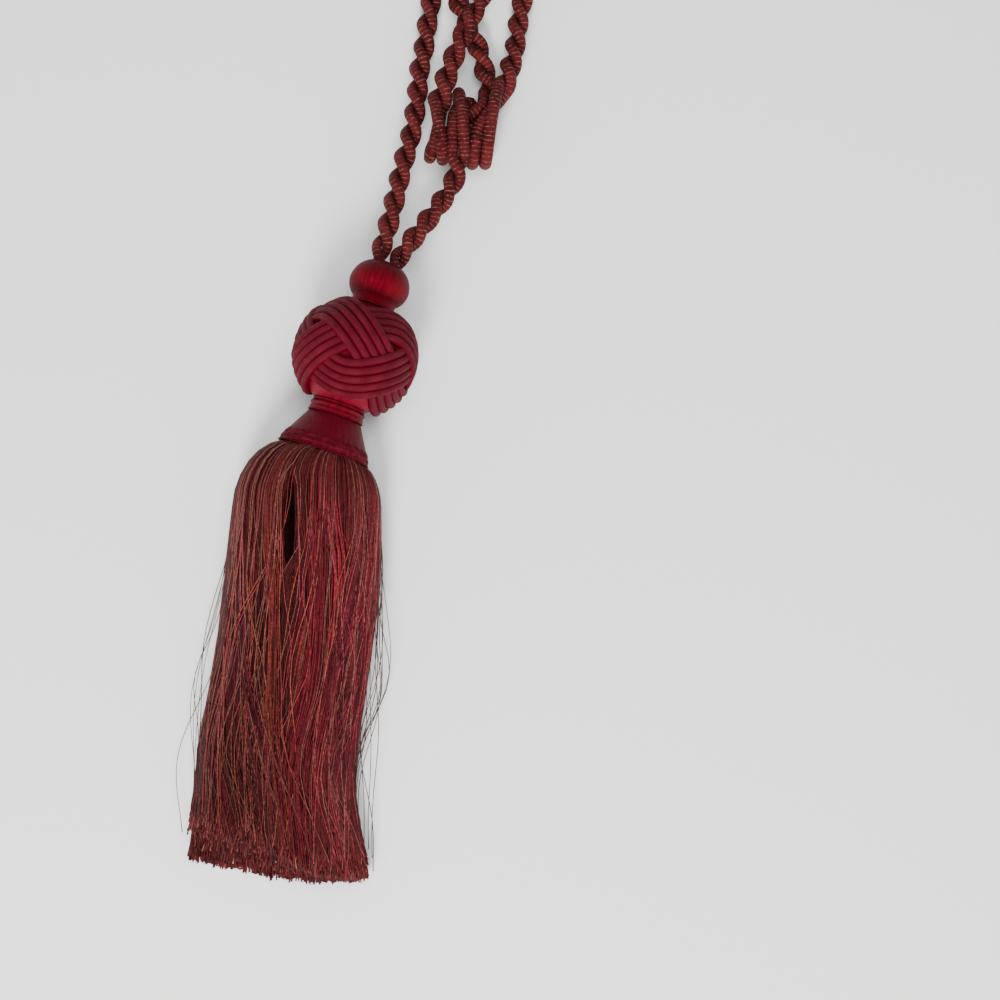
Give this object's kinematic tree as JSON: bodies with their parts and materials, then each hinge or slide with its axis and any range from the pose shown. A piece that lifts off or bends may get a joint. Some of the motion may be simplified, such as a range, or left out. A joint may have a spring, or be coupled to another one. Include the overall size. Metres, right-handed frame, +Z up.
{
  "type": "curtain tieback tassel",
  "caption": "Curtain tieback with a braided satin ball head, a flared collar, a long thread skirt and a knotted twisted rope that ends in hook loops.",
  "frame": {"origin": "on the surface that the tassel lies on, below the middle of the tassel's own box, rope left out", "axes": "+Z up from the surface, +Y from the skirt's ends toward the head, +X to the right seen from the skirt"},
  "size_m": [0.2077, 0.6012, 0.0577],
  "materials": {
    "satin": "satin",
    "braid_cord": "ribbed cord",
    "gimp": "braided",
    "skirt_thread": "mixed threads, silky",
    "rope_yarn": "ribbed rope with fine light lines"
  },
  "bodies": {
    "root": {"ball": "satin", "ball_braid": "braid_cord", "cap": "satin", "neck_ring": "satin", "collar": "satin", "collar_gimp": "gimp", "skirt": "skirt_thread", "rope": "rope_yarn"}
  },
  "joints": []
}
